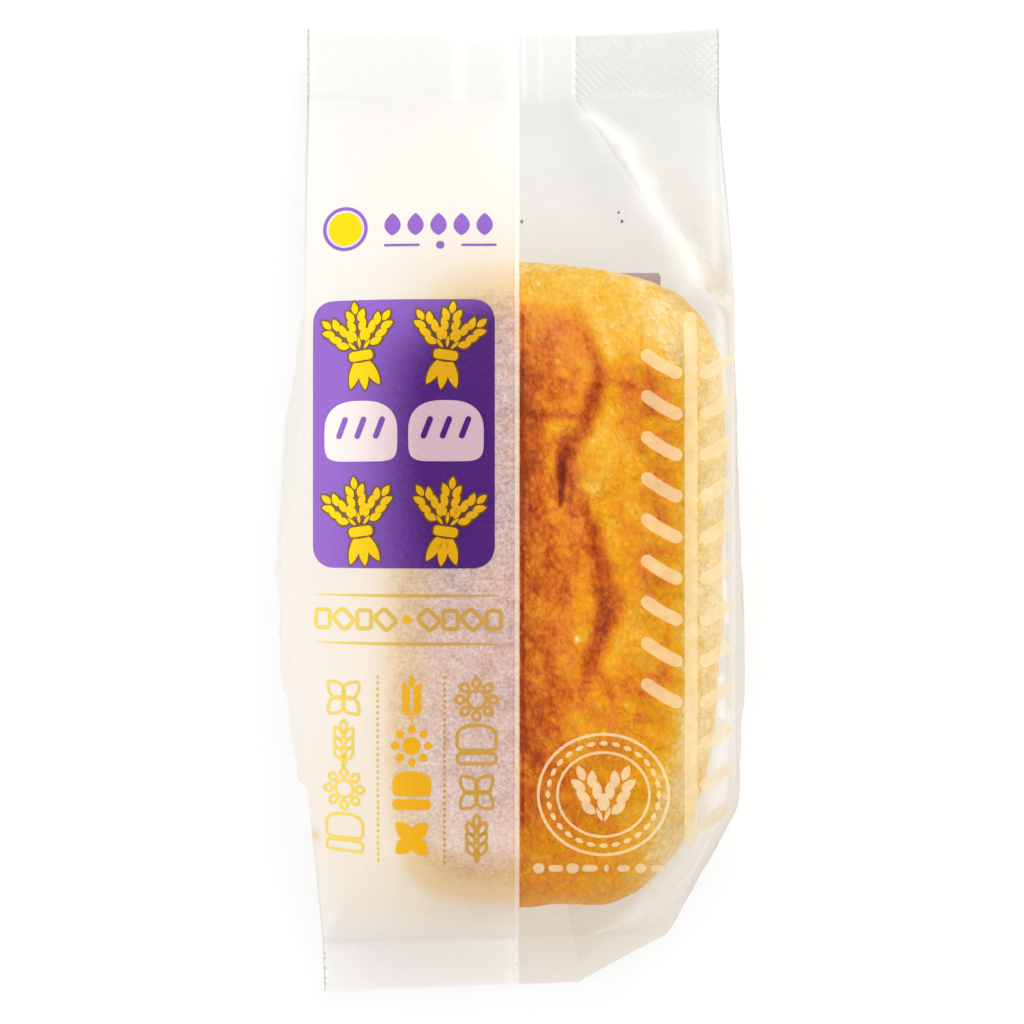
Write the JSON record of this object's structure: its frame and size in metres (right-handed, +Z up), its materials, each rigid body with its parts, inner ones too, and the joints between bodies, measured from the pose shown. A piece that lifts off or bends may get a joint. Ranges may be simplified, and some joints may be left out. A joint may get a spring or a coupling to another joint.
{
  "type": "bagged danish pastry loaf",
  "caption": "Golden Danish pastry loaf sealed in a side-gusseted bag of matte paper and clear film with crimped ends, lying flat.",
  "frame": {"origin": "middle of the bag's footprint, on the surface it lies on", "axes": "+Y runs along the bag towards its top seal, +X to the right of the front panel, +Z up through the front panel"},
  "size_m": [0.1006, 0.2104, 0.0432],
  "materials": {
    "clear_film": "glossy crinkled plastic film",
    "matte_paper": "matte translucent fibrous paper",
    "crust": "golden baked crust with a fine pebbly crackle",
    "purple_print": "matte ink",
    "gold_print": "matte ink",
    "cream_print": "satin ink"
  },
  "bodies": {
    "root": {"bag": "clear_film"}
  },
  "joints": []
}
